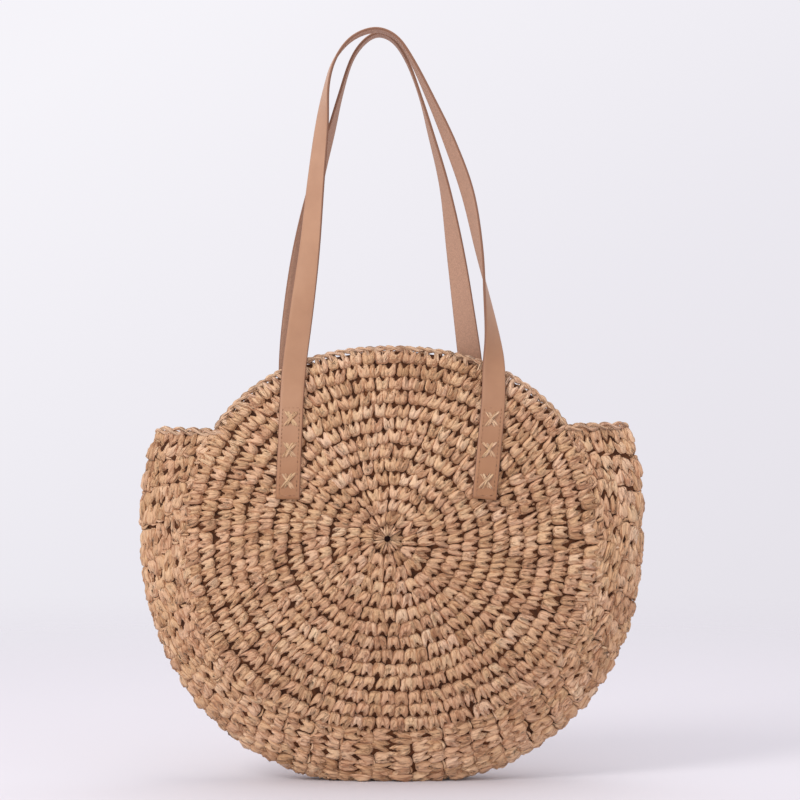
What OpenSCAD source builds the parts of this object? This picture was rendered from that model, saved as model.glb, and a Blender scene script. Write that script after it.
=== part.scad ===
// Crocheted straw beach bag: two domed discs, a folded gusset, a mouth edging,
// a cloth lining with a magnetic snap, and two flat leather straps.
// +Z is up, the origin is on the floor under the middle, and the front faces -Y.

/* [Body] */
// Width across the outer folds of the gusset
body_w = 420; // [404:4:436]
// Width of a disc panel, seam to seam
panel_w = 336; // [324:4:344]
// Height of a disc panel, bottom seam to mouth edging
panel_h = 314; // [306:2:318]
// Height of a disc's centre above the floor
panel_z = 200; // [196:1:204]
// Squareness of the outlines: 2 is an ellipse
roundness = 2.2; // [2:0.1:2.5]
// Height of the gusset's two open ends
ear_z = 291; // [280:1:300]
// Height by which the rounded underside is flattened where it stands
base_flat = 6; // [3:1:9]

/* [Depth] */
// Half the depth between the seams at the bottom
base_depth = 30; // [26:1:36]
// Half the depth between the lips of the closed mouth
lip_depth = 9; // [8:1:12]
// How far a disc domes out of its seam
belly = 20; // [14:1:26]
// Thickness of the crochet
wall = 5; // [4:0.5:6]
// Diameter of the chain edging round the mouth
rim_d = 6; // [5:0.5:7]
// Diameter of the joining yarn
seam_d = 5; // [4:0.5:5]

/* [Lining] */
// Thickness of the lining cloth
lining_t = 1; // [0.6:0.1:1.2]
// Size of the lining panel as a share of the disc
lining_share = 0.92; // [0.88:0.01:0.93]

/* [Straps] */
// Width of the leather
strap_w = 20; // [18:1:22]
// Thickness of the leather
strap_t = 2.2; // [1.8:0.1:2.6]
// Height of the fold line where a strap leaves its tab
fold_z = 312; // [308:1:316]
// Length of a sewn-down tab
tab_length = 78; // [70:1:84]
// Distance between the cross stitches of a tab
cross_pitch = 25.4; // [22:0.2:27]
// Thickness of the leather patch behind a tab
patch_t = 1.2; // [0.8:0.1:1.4]

/* [Snap] */
// Diameter of both halves of the magnetic snap
snap_d = 18; // [14:1:20]
// Height of the snap's centre above the floor
snap_z = 334; // [328:1:336]

/* [Hidden] */

straw = [0.80, 0.63, 0.48];
straw_dark = [0.70, 0.52, 0.37];
leather = [0.74, 0.52, 0.40];
cloth = [0.20, 0.11, 0.10];
nickel = [0.75, 0.74, 0.72];

body_r = body_w / 2;
panel_rx = panel_w / 2;
panel_rz = panel_h / 2;
panel_foot = panel_z - panel_rz;
seam_clear = 0.4;
panel_share = 1 - (max(rim_d, seam_d) / 2 + seam_clear) / panel_rz;
gusset_share = 0.9;
lining_gap = 1.6;
snap_reach = 45;
snap_face = 3;
sheet_clear = 0.15;
tab_gap = 0.4;
fold_gap = 1.5;
fold_lift = 0.3;
cross_h = 12;
cross_w = 9;
yarn_d = 1.6;

// Where each tab starts, at the fold line, and where it ends: [top x, foot x]
front_left = [-82.5, -85];
front_right = [83.5, 75.5];
back_left = [-85, -83];
back_right = [69, 66];

// Angle on an outline of half height rz where it is h above its centre
function angle_at(h, rz) = asin(pow(h / rz, roundness / 2));
seam_ear = angle_at(ear_z - panel_z, panel_rz);
fold_ear = angle_at(ear_z - body_r, body_r);

function clamp(v) = min(1, max(0, v));
function mix(a, b, k) = a + (b - a) * k;
function soft_power(v, p) = sign(v) * pow(abs(v), p);

// Point at angle a of a rounded outline, as [x, z] from its centre
function outline(rx, rz, a) = [rx * soft_power(cos(a), 2 / roundness), rz * soft_power(sin(a), 2 / roundness)];

// How far out a point lies on a disc: 0 at its centre, 1 at its seam
function share_at(x, z) =
  pow(pow(abs(x) / panel_rx, roundness) + pow(abs(z - panel_z) / panel_rz, roundness), 1 / roundness);

// Depth of the seam, and of the disc's outer face, in front of the middle plane
function seam_depth(z) = mix(base_depth, lip_depth, pow(clamp((z - panel_foot) / panel_h), 1.6));
function face_depth(x, z) = seam_depth(z) + belly * clamp(1 - pow(share_at(x, z), 2));

// Depth of the lining's outer face: it follows the crochet, but the snap draws it in
function snap_pull(x, z) = exp(-pow(norm([x, z - snap_z]) / snap_reach, 4));
function lining_depth(x, z) =
  mix(face_depth(x, z) - wall - patch_t - lining_gap, snap_face + lining_t, snap_pull(x, z));

// A closed skin over rings that have the same even number of points
module skin(rings) {
  n = len(rings[0]);
  last = (len(rings) - 1) * n;
  sides = [for (i = [0:len(rings) - 2], j = [0:n - 1], k = [0, 1])
    let (a = i * n + j, b = i * n + (j + 1) % n)
    k == 0 ? [a, b, a + n] : [b, b + n, a + n]];
  first_cap = [for (j = [0:n / 2 - 2], k = [0, 1])
    k == 0 ? [j, n - 2 - j, j + 1] : [j, n - 1 - j, n - 2 - j]];
  last_cap = [for (face = first_cap) [last + face[0], last + face[2], last + face[1]]];
  polyhedron(points = [for (ring = rings, p = ring) p], faces = concat(sides, first_cap, last_cap), convexity = 8);
}

// A ring of the given flat section at point p, with the section's two directions
function ring_at(p, across, up, section) = [for (s = section) p + s[0] * across + s[1] * up];
function unit(v) = v / norm(v);
function circle_section(r, sides) = [for (i = [0:sides - 1]) r * [cos(i * 360 / sides), sin(i * 360 / sides)]];

// A round tube along a list of points
module tube(path, r) {
  section = circle_section(r, 8);
  skin([for (i = [0:len(path) - 1])
    let (
      tangent = unit(path[min(i + 1, len(path) - 1)] - path[max(i - 1, 0)]),
      across = unit(cross(tangent, [0.02, 1, 0.01])),
      up = cross(across, tangent))
    ring_at(path[i], across, up, section)]);
}

// A domed sheet over the front disc, between two depths, out to the given share of it
module domed_sheet(share, rows, columns, outer, inner) {
  shares = [for (i = [0:rows]) mix(0.03, share, i / rows)];
  skin(concat(
    [for (s = shares) sheet_ring(s, columns, outer)],
    [for (i = [rows:-1:0]) sheet_ring(shares[i], columns, inner)]));
}
// side picks the depth: 0 and 1 are the crochet's outer and inner face, 2 and 3 the lining's
function sheet_depth(side, x, z) =
  side == 0 ? face_depth(x, z)
  : side == 1 ? face_depth(x, z) - wall
  : side == 2 ? lining_depth(x, z)
  : lining_depth(x, z) - lining_t;
function sheet_ring(share, columns, side) = [for (j = [0:columns - 1])
  let (p = share * outline(panel_rx, panel_rz, j * 360 / columns), z = panel_z + p[1])
  [p[0], -sheet_depth(side, p[0], z), z]];

// Point of the gusset: t runs from the right ear round the bottom to the left ear,
// v runs from the front seam (-1) over the fold (0) to the back seam (1)
function bulge(t, v) = 1 - pow(abs(v), mix(3, 1.6, pow(abs(2 * t - 1), 0.7)));
function gusset_point(t, v, inset, floor_z) =
  let (
    seam = outline(panel_rx - 0.6 * inset, panel_rz - 0.6 * inset, mix(seam_ear, -180 - seam_ear, t)),
    fold = outline(body_r - 1.3 * inset, body_r + base_flat - 1.3 * inset, mix(fold_ear, -180 - fold_ear, t)),
    seam_z = panel_z + seam[1],
    fold_z = body_r + fold[1],
    depth = seam_depth(seam_z) - 0.8 * inset)
  [mix(seam[0], fold[0], bulge(t, v)), v * depth, max(floor_z, mix(seam_z, fold_z, bulge(t, v)))];

// A band of the gusset between two insets from its outer face
module gusset_band(columns, rows, share, outer, inner) {
  steps = [for (k = [0:rows]) mix(-share, share, k / rows)];
  skin([for (i = [0:columns])
    concat(
      [for (v = steps) gusset_point(i / columns, v, outer, outer)],
      [for (k = [rows:-1:0]) gusset_point(i / columns, steps[k], inner, inner)])]);
}

module front_panel() {
  color(straw) domed_sheet(panel_share, 11, 48, 0, 1);
}
module back_panel() {
  mirror([0, 1, 0]) front_panel();
}
module gusset() {
  color(straw_dark) gusset_band(56, 12, gusset_share, 0, wall);
}

// Joining yarn, along the lower part of the disc's outline
module front_seam() {
  span = 180 + 2 * seam_ear - 4;
  color(straw_dark) tube([for (i = [0:60])
    let (p = outline(panel_rx, panel_rz, seam_ear - 2 - span * i / 60), z = panel_z + p[1])
    [p[0], wall / 2 - seam_depth(z), z]], seam_d / 2);
}
module back_seam() {
  mirror([0, 1, 0]) front_seam();
}

// Chain edging, along the upper part of the disc's outline
module front_rim() {
  span = 180 - 2 * seam_ear;
  color(straw) tube([for (i = [0:44])
    let (p = outline(panel_rx, panel_rz, seam_ear + span * i / 44), z = panel_z + p[1])
    [p[0], wall / 2 - seam_depth(z), z]], rim_d / 2);
}
module back_rim() {
  mirror([0, 1, 0]) front_rim();
}
module ear_rim(t) {
  lift = rim_d / 2 + 2 * seam_clear;
  color(straw) tube([for (i = [-10:10])
    gusset_point(t, 0.86 * i / 10, wall / 2, 0) + [0, 0, lift]], rim_d / 2);
}
module left_ear_rim() {
  ear_rim(1);
}
module right_ear_rim() {
  ear_rim(0);
}

module lining_front() {
  color(cloth) domed_sheet(lining_share, 9, 36, 2, 3);
}
module lining_back() {
  mirror([0, 1, 0]) lining_front();
}
module lining_gusset() {
  inset = wall + lining_gap;
  color(cloth) gusset_band(44, 8, 0.72, inset, inset + lining_t);
}

// Strap routes, from the left tab over the top to the right tab: [x, depth, z, turn].
// depth is the distance in front of the middle plane, turn the angle of the width from +X.
function tab_slope(x) = atan((face_depth(x - 6, fold_z) - face_depth(x + 6, fold_z)) / 12);
function fold_station(x, turn) = [
  x, face_depth(x, fold_z) + tab_gap + fold_lift + strap_t / 2, fold_z + fold_gap, turn + tab_slope(x)];
front_route = [
  fold_station(front_left[0], 0),
  [-80.5, 15, 344, 0], [-75, 13, 386, -8], [-68, 12.5, 440, -30], [-63, 12, 494, -44],
  [-58, 12, 540, -56], [-54, 12, 574, -78], [-47, 12, 597, -83], [-33, 12, 614, -88],
  [-14, 12, 621, -90], [3, 12, 615, -90], [16, 12, 597, -86], [33, 12, 562, -76],
  [49, 12.5, 525, -64], [63, 13, 485, -62], [72, 14, 440, -76], [78, 15, 402, -102],
  [83, 16, 366, -130], [84, 18, 340, -162],
  fold_station(front_right[0], -180)];
back_route = [
  fold_station(back_left[0], 0),
  [-85, 15, 344, -4], [-82, 13, 386, -20], [-75, 12.5, 440, -38], [-64, 12, 494, -58],
  [-51, 12, 540, -76], [-43.5, 12, 569, -86], [-34.5, 12, 598, -90], [-24, 12, 614, -90],
  [-11.5, 12, 621, -90], [2, 12, 615, -90], [13.5, 12, 597, -90], [23.8, 12, 569, -90],
  [32, 12, 540, -98], [44, 12, 494, -110], [53, 12.5, 440, -134], [60, 13, 390, -152],
  [66, 15.5, 344, -172],
  fold_station(back_right[0], -180)];

// Smooth curve through a route's stations, at station number u
function station(route, i) = route[min(max(i, 0), len(route) - 1)];
function along(route, u) =
  let (
    i = min(floor(u), len(route) - 2),
    k = u - i,
    a = station(route, i - 1),
    b = station(route, i),
    c = station(route, i + 1),
    d = station(route, i + 2))
  0.5 * ((2 * b) + (c - a) * k + (2 * a - 5 * b + 4 * c - d) * k * k + (3 * b - a - 3 * c + d) * k * k * k);

module strap(route) {
  steps = 4;
  count = (len(route) - 1) * steps;
  half_w = strap_w / 2;
  half_t = strap_t / 2;
  section = [[-half_w, -half_t], [half_w, -half_t], [half_w, half_t], [-half_w, half_t]];
  path = [for (i = [0:count]) let (s = along(route, i / steps)) [s[0], -s[1], s[2]]];
  skin([for (i = [0:count])
    let (
      tangent = unit(path[min(i + 1, count)] - path[max(i - 1, 0)]),
      turn = along(route, i / steps)[3],
      wanted = [cos(turn), sin(turn), 0],
      across = unit(wanted - (wanted * tangent) * tangent),
      up = cross(tangent, across))
    ring_at(path[i], across, up, section)]);
}
module front_strap() {
  color(leather) strap(front_route);
}
module back_strap() {
  mirror([0, 1, 0]) color(leather) strap(back_route);
}

// A flat piece that follows the disc between two heights, gap in front of its face
module applied(line, width, foot_z, top_z, gap, thickness) {
  rows = 6;
  skin([for (i = [0:rows])
    let (
      z = mix(foot_z, top_z, i / rows),
      x = mix(line[1], line[0], clamp((z - fold_z + tab_length) / tab_length)),
      left = face_depth(x - width / 2, z) + gap,
      right = face_depth(x + width / 2, z) + gap)
    [[x - width / 2, -left, z], [x + width / 2, -right, z],
     [x + width / 2, -right - thickness, z], [x - width / 2, -left - thickness, z]]]);
}
module tab(line) {
  color(leather) applied(line, strap_w, fold_z - tab_length, fold_z - fold_gap, tab_gap, strap_t);
}
module patch(line) {
  margin = 4;
  color(leather) applied(line, strap_w + 2 * margin, fold_z - tab_length - margin, fold_z - fold_gap,
    -wall - tab_gap - patch_t, patch_t);
}

// Three crosses of yarn lying on a tab
module cross_stitches(line) {
  yarn_length = norm([cross_w, cross_h]);
  for (i = [-1:1]) {
    z = fold_z - tab_length / 2 + 2 + i * cross_pitch;
    x = mix(line[1], line[0], (z - fold_z + tab_length) / tab_length);
    rise = atan((face_depth(x, z - 6) - face_depth(x, z + 6)) / 12);
    turn = atan((face_depth(x - 6, z) - face_depth(x + 6, z)) / 12);
    y = -face_depth(x, z) - tab_gap - strap_t - yarn_d / 2 - 0.5;
    color(straw) translate([x, y, z]) rotate([-rise, 0, turn])
      for (side = [-1, 1]) rotate([0, side * atan(cross_w / cross_h), 0])
        cylinder(h = yarn_length, d = yarn_d, center = true, $fn = 16);
  }
}

module front_left_tab() {
  tab(front_left);
}
module front_right_tab() {
  tab(front_right);
}
module back_left_tab() {
  mirror([0, 1, 0]) tab(back_left);
}
module back_right_tab() {
  mirror([0, 1, 0]) tab(back_right);
}
module front_left_stitches() {
  cross_stitches(front_left);
}
module front_right_stitches() {
  cross_stitches(front_right);
}
module back_left_stitches() {
  mirror([0, 1, 0]) cross_stitches(back_left);
}
module back_right_stitches() {
  mirror([0, 1, 0]) cross_stitches(back_right);
}
module front_left_patch() {
  patch(front_left);
}
module front_right_patch() {
  patch(front_right);
}
module back_left_patch() {
  mirror([0, 1, 0]) patch(back_left);
}
module back_right_patch() {
  mirror([0, 1, 0]) patch(back_right);
}

// Magnetic snap: both halves meet just in front of the middle plane
stud_t = 2;
socket_t = 3.5;
stud_d = 6;
stud_h = 2.2;
bore_clear = 0.3;
snap_gap = 0.2;
snap_plane = stud_t + sheet_clear - snap_face;
module at_snap(y) {
  translate([0, y, snap_z]) rotate([-90, 0, 0]) children();
}
module snap_stud() {
  color(nickel) union() {
    at_snap(snap_plane - stud_t) cylinder(h = stud_t, d = snap_d, $fn = 48);
    at_snap(snap_plane - 0.1) cylinder(h = stud_h + 0.1, d = stud_d, $fn = 32);
  }
}
module snap_socket() {
  color(nickel) difference() {
    at_snap(snap_plane + snap_gap) cylinder(h = socket_t, d = snap_d, $fn = 48);
    at_snap(snap_plane + snap_gap - 1) cylinder(h = stud_h + 1.4, d = stud_d + 2 * bore_clear, $fn = 32);
  }
}
washer_t = 0.6;
washer_d = 0.7 * snap_d;
washer_gap = 0.3;
module back_snap_washer() {
  color(nickel) at_snap(snap_face + lining_t + washer_gap) cylinder(h = washer_t, d = washer_d, $fn = 48);
}
module front_snap_washer() {
  mirror([0, 1, 0]) back_snap_washer();
}

front_panel();
back_panel();
gusset();
front_seam();
back_seam();
front_rim();
back_rim();
left_ear_rim();
right_ear_rim();
lining_front();
lining_back();
lining_gusset();
front_strap();
back_strap();
front_left_tab();
front_right_tab();
back_left_tab();
back_right_tab();
front_left_stitches();
front_right_stitches();
back_left_stitches();
back_right_stitches();
front_left_patch();
front_right_patch();
back_left_patch();
back_right_patch();
snap_stud();
snap_socket();
front_snap_washer();
back_snap_washer();
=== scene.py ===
"""Crocheted straw beach bag: stitches, leather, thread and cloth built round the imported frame."""

import math

import bpy
import numpy as np
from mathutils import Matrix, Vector


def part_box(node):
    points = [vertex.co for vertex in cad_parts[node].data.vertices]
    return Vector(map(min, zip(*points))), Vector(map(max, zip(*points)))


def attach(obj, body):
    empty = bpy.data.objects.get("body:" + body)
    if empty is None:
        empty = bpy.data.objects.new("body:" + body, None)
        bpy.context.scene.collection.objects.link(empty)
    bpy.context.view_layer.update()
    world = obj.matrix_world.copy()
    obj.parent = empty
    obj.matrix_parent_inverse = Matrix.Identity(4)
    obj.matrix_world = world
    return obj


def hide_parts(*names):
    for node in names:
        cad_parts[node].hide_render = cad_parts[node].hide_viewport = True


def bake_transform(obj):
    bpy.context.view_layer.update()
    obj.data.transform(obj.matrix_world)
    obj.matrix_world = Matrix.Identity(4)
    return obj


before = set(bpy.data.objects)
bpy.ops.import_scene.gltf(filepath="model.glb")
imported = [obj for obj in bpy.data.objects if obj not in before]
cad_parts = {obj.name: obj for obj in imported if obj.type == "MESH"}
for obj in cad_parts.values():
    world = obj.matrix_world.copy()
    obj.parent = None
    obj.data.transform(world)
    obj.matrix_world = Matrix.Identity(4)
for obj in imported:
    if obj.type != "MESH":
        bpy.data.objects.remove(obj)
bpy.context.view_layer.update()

MM = 0.001
TURN = 2 * math.pi
FRONT, BACK = -1, 1

# ------------ sizes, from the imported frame

WALL = 5 * MM
SEAM_D = 5 * MM
RIM_D = 6 * MM
ROUNDNESS = 2.2
BELLY = 20 * MM
SLOUCH = 1.6 * MM
DEPTH_POWER = 1.6

seam_low, seam_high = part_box("front_seam")
_, rim_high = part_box("front_rim")
_, gusset_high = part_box("gusset")
tab_low, tab_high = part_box("front_left_tab")
PANEL_RX = seam_high.x - SEAM_D / 2
PANEL_FOOT = seam_low.z + SEAM_D / 2
PANEL_TOP = rim_high.z - RIM_D / 2
PANEL_RZ = (PANEL_TOP - PANEL_FOOT) / 2
PANEL_Z = (PANEL_TOP + PANEL_FOOT) / 2
BASE_DEPTH = 30 * MM
LIP_DEPTH = RIM_D / 2 + WALL / 2 - rim_high.y
BODY_R = gusset_high.x
BASE_FLAT = 6 * MM
EAR_Z = gusset_high.z
FOLD_GAP = 1.5 * MM
FOLD_LIFT = 0.3 * MM
FOLD_Z = tab_high.z + FOLD_GAP
TAB_FOOT = tab_low.z
TAB_GAP = 0.4 * MM
STRAP_W = 20 * MM
STRAP_T = 2.2 * MM

ROUNDS = 14
DISC_BANDS = (("inner", 0, 8), ("middle", 8, 11), ("outer", 11, ROUNDS))
STAR_STITCHES = 12
STITCH = 8.7 * MM
GUSSET_ROWS = 62
GUSSET_STITCHES = 12
GUSSET_SINK = 1.6 * MM
# The sheets of crochet behind the stitches: how deep they lie, and how thick they are
GROUND_DEPTH = 4.6 * MM
GUSSET_GROUND_DEPTH = 5.6 * MM
GROUND_T = 1.4 * MM
# How far the last round of a disc lies over the gusset at the sides
SIDE_LAP = 3 * MM
# How far the first round of a disc lies from the middle of its outline
STAR_X = -3.7 * MM
STAR_RISE = 2.1 * MM
# How much lower the left ear hangs than the right one
SLUMP = 4 * MM

# How much the tabs press the crochet in, how far beyond their edges, and the height at which the straps
# have left it
PRESS_DEPTH = 1.3 * MM
PRESS_FADE = 4 * MM
PRESS_TOP = 0.345

# Lines of the four tabs: x at the fold line and x at the foot
TABS = {
    "front_left": (FRONT, -82.5 * MM, -85 * MM),
    "front_right": (FRONT, 83.5 * MM, 75.5 * MM),
    "back_left": (BACK, -85 * MM, -83 * MM),
    "back_right": (BACK, 69 * MM, 66 * MM),
}

# Strap stations from the left fold line over the top to the right one: x, depth and z in mm, and turn in
# degrees. The stations at the fold lines themselves come from the tabs.
ROUTES = {"front": [
    (-80.5, 15, 344, 0), (-75, 13, 386, -8), (-68, 12.5, 440, -30), (-63, 12, 494, -44),
    (-58, 12, 540, -56), (-54, 12, 574, -78), (-47, 12, 597, -83), (-33, 12, 614, -88),
    (-14, 12, 621, -90), (3, 12, 615, -90), (16, 12, 597, -86), (33, 12, 562, -76),
    (49, 12.5, 525, -64), (63, 13, 485, -62), (72, 14, 440, -76), (78, 15, 402, -102),
    (83, 16, 366, -130), (84, 18, 340, -162),
], "back": [
    (-85, 15, 344, -4), (-82, 13, 386, -20), (-75, 12.5, 440, -38), (-64, 12, 494, -58),
    (-51, 12, 540, -76), (-43.5, 12, 569, -86), (-34.5, 12, 598, -90), (-24, 12, 614, -90),
    (-11.5, 12, 621, -90), (2, 12, 615, -90), (13.5, 12, 597, -90), (23.8, 12, 569, -90),
    (32, 12, 540, -98), (44, 12, 494, -110), (53, 12.5, 440, -134), (60, 13, 390, -152),
    (66, 15.5, 344, -172),
]}


# ------------ small maths

def mix(a, b, k):
    return a + (b - a) * k


def smooth(k):
    k = np.clip(k, 0, 1)
    return k * k * (3 - 2 * k)


def unit(v):
    return v / np.maximum(np.linalg.norm(v, axis=-1, keepdims=True), 1e-12)


def soft_power(v, p):
    return np.sign(v) * np.abs(v) ** p


def distances(path):
    """Distance along a path at each of its points."""
    return np.concatenate([[0], np.cumsum(np.linalg.norm(np.diff(path, axis=0), axis=1))])


def round_rows(start, end, n, m):
    """A column of n values from start to end and a row of m angles round a circle."""
    return np.linspace(start, end, n)[:, None], np.linspace(0, TURN, m, endpoint=False)[None]


# ------------ the bag's surfaces

def share_at(x, z):
    """0 at a disc's centre, 1 at its seam."""
    out, up = np.abs(x / PANEL_RX), np.abs((z - PANEL_Z) / PANEL_RZ)
    return (out**ROUNDNESS + up**ROUNDNESS) ** (1 / ROUNDNESS)


def seam_depth(z):
    rise = np.clip((z - PANEL_FOOT) / (2 * PANEL_RZ), 0, 1)
    return mix(BASE_DEPTH, LIP_DEPTH, rise**DEPTH_POWER)


def slouch(x, z):
    """Slow hollows and swells of a soft bag, none at the seam."""
    swell = np.sin(x * 21 + 0.6) * np.cos(z * 17 - 1.1) + 0.6 * np.sin(x * 37 - z * 29)
    return SLOUCH * swell * np.clip(1 - share_at(x, z) ** 2, 0, 1)


def face_depth(x, z):
    """Depth of a disc's outer face in front of, or behind, the middle plane."""
    return seam_depth(z) + BELLY * np.clip(1 - share_at(x, z) ** 2, 0, 1) + slouch(x, z)


def disc_point(share, angle, side, lift=0.0):
    """Point of a disc. Its rounds are circles near the centre and take the outline's shape outwards."""
    power = mix(1, 2 / ROUNDNESS, share**2)
    centred = (1 - share) ** 2
    x = share * (PANEL_RX + SIDE_LAP * share**2) * soft_power(np.cos(angle), power) + STAR_X * centred
    z = PANEL_Z + share * PANEL_RZ * soft_power(np.sin(angle), power) + STAR_RISE * centred
    return np.stack([x, side * (face_depth(x, z) + lift), z], axis=-1)


def surface_frame(point, a, b, outside):
    """Unit directions of a surface: along its first and second parameter and off it to the outside. Also
    how fast a point of it moves with each parameter."""
    step = 1e-3
    along = (point(a + step, b) - point(a - step, b)) / (2 * step)
    across = (point(a, b + step) - point(a, b - step)) / (2 * step)
    long, wide = np.linalg.norm(along, axis=-1), np.linalg.norm(across, axis=-1)
    e_along = unit(along)
    e_across = unit(across - np.sum(across * e_along, -1, keepdims=True) * e_along)
    normal = unit(np.cross(e_along, e_across))
    normal = np.where(np.sum(normal * outside, -1, keepdims=True) < 0, -normal, normal)
    return e_along, e_across, normal, long, wide


def disc_frame(share, angle, side):
    """Directions at a point of a disc: outwards, round it, and off its face."""
    return surface_frame(lambda s, a: disc_point(s, a, side), share, angle, np.array([0, side, 0.0]))


def ear_angle(rise, radius):
    return math.asin((rise / radius) ** (ROUNDNESS / 2))


SEAM_EAR = ear_angle(EAR_Z - PANEL_Z, PANEL_RZ)
FOLD_EAR = ear_angle(EAR_Z - BODY_R, BODY_R)


def outline(rx, rz, angle):
    power = 2 / ROUNDNESS
    return rx * soft_power(np.cos(angle), power), rz * soft_power(np.sin(angle), power)


def gusset_point(t, v, inset=0.0):
    """Point of the gusset: t runs from the right ear to the left one, v from front seam to back seam.
    inset takes it inwards, more at the middle fold than at the seams."""
    seam_inset, fold_inset = 0.6 * inset, 1.3 * inset
    seam_angle, fold_angle = (mix(ear, -math.pi - ear, t) for ear in (SEAM_EAR, FOLD_EAR))
    seam_x, seam_z = outline(PANEL_RX - seam_inset, PANEL_RZ - seam_inset, seam_angle)
    fold_x, fold_z = outline(BODY_R - fold_inset, BODY_R + BASE_FLAT - fold_inset, fold_angle)
    seam_z = PANEL_Z + seam_z
    fold_z = BODY_R + fold_z
    bulge = 1 - np.abs(v) ** mix(3, 1.6, np.abs(2 * t - 1) ** 0.7)
    depth = seam_depth(seam_z) - 0.8 * inset
    z = np.maximum(inset, mix(seam_z, fold_z, bulge) - SLUMP * smooth(12 * t - 11))
    return np.stack([mix(seam_x, fold_x, bulge), v * depth, z], axis=-1)


def gusset_frame(t, v):
    """Directions on the gusset: along its length towards the left ear, across it, and off its face."""
    return surface_frame(gusset_point, t, v, gusset_point(t, v) - np.array([0, 0, PANEL_Z]))


# ------------ yarn

# Size of the straw's grain: its steps per metre along a strand, and the width of a strand of one step
GRAIN_ALONG = 60
GRAIN_WIDTH = 3.2 * MM


class Yarn:
    """Collects strands of yarn, each a closed flattened tube, and makes one mesh of them."""

    def __init__(self, seed):
        self.rng = np.random.default_rng(seed)
        self.groups = []

    def add(self, paths, widths, flatness, ups, sides=12, lobes=4):
        """Strands along paths (n, k, 3), of widths (n, k) and flatness times as high. ups, (n, 3) or
        (n, k, 3), point off their flat side. A section has sides points and lobes swells with creases."""
        n, k, _ = paths.shape
        tangent = unit(np.gradient(paths, axis=1))
        if ups.ndim == 2:
            ups = np.repeat(ups[:, None, :], k, axis=1)
        side = unit(np.cross(ups, tangent))
        up = np.cross(tangent, side)
        turn = np.arange(sides) * TURN / sides
        phase = self.rng.uniform(0, TURN, (n, 1, 1))
        twist = self.rng.uniform(-0.7, 0.7, (n, 1, 1)) * np.linspace(0, 1, k)[None, :, None]
        valley = 1 - np.abs(np.cos(0.5 * lobes * (turn + twist) + phase))
        crease = 1.06 - 0.28 * valley**1.5 + self.rng.normal(0, 0.055, (n, k, sides))
        crease = crease * (1 + self.rng.normal(0, 0.05, (n, k, 1)))
        reach_side = 0.5 * widths[..., None] * np.cos(turn) * crease
        reach_up = 0.5 * (flatness * widths)[..., None] * np.sin(turn) * crease
        ring = (paths[:, :, None] + reach_side[..., None] * side[:, :, None]
                + reach_up[..., None] * up[:, :, None])
        length = np.linalg.norm(np.diff(paths, axis=1), axis=2).sum(1)
        along = np.linspace(0, 1, k)[None, :, None] * length[:, None, None] * GRAIN_ALONG
        span = widths.mean(axis=1)[:, None, None] / GRAIN_WIDTH
        grain = np.broadcast_arrays(span * np.cos(turn), span * np.sin(turn), along)
        self.add_rings(ring, np.stack(grain, -1))

    def add_rings(self, ring, grain):
        """Strands given as rings of points (n, k, sides, 3), with places in the grain of the straw."""
        n = len(ring)
        grain = grain + self.rng.uniform(0, 50, (n, 1, 1, 3))
        tone = self.rng.normal(0, 1, n)
        self.groups.append((ring, grain, np.broadcast_to(tone[:, None, None], ring.shape[:3])))

    def build(self, name, material):
        """One mesh of all the strands, with a cell for each on the sheet that the looks are baked on."""
        columns = math.ceil(math.sqrt(sum(len(ring) for ring, _, _ in self.groups)))
        parts = []
        first, loop, cell = 0, 0, 0
        for ring, grain, tone in self.groups:
            n, k, m, _ = ring.shape
            index = first + np.arange(n * k * m).reshape(n, k, m)
            after = np.roll(index, -1, axis=2)
            quads = np.stack([index[:, :-1], after[:, :-1], after[:, 1:], index[:, 1:]], -1)
            caps = np.concatenate([index[:, 0, ::-1], index[:, -1]])
            starts = np.concatenate([4 * np.arange(quads.size // 4), quads.size + m * np.arange(2 * n)])
            corners = np.stack([cell_places(n, cell, columns, i, j, k, m)
                                for i, j in ((0, 0), (0, 1), (1, 1), (1, 0))], -2)
            cap_corners = cap_places(n, cell, columns, m)
            parts.append((
                ring.reshape(-1, 3), grain.reshape(-1, 3), tone.ravel(),
                np.concatenate([quads.ravel(), caps.ravel()]), loop + starts,
                np.concatenate([corners.reshape(-1, 2), cap_corners.reshape(-1, 2)]),
            ))
            first += ring.size // 3
            loop += quads.size + caps.size
            cell += n
        points, grains, tones, loops, starts, places = (np.concatenate(part) for part in zip(*parts))
        points[:, 2] = np.maximum(points[:, 2], 0)
        return make_mesh(name, points, loops, starts, material, {"grain": grains, "tone": tones}, places)


def cell_places(n, cell, columns, di, dj, k, m):
    """Corner places on the bake sheet for the quads of n strands, each in a cell of its own."""
    number = cell + np.arange(n)[:, None, None]
    u = (np.arange(k - 1)[None, :, None] + di) / (k - 1)
    v = (np.arange(m)[None, None, :] + dj) / m
    x = (number % columns + 0.08 + 0.8 * u) / columns
    y = (number // columns + 0.06 + 0.88 * v) / columns
    return np.stack(np.broadcast_arrays(x, y), -1)


def cap_places(n, cell, columns, m):
    """The same for the strands' end caps, in a strip beside each cell."""
    number = cell + np.arange(n)[:, None]
    turn = np.arange(m) * TURN / m
    x = (number % columns + 0.94 + 0.02 * np.cos(turn)) / columns
    ends = [(number // columns + end + 0.02 * np.sin(turn)) / columns for end in (0.25, 0.75)]
    return np.concatenate([np.stack([x, y], -1) for y in ends])


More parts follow.
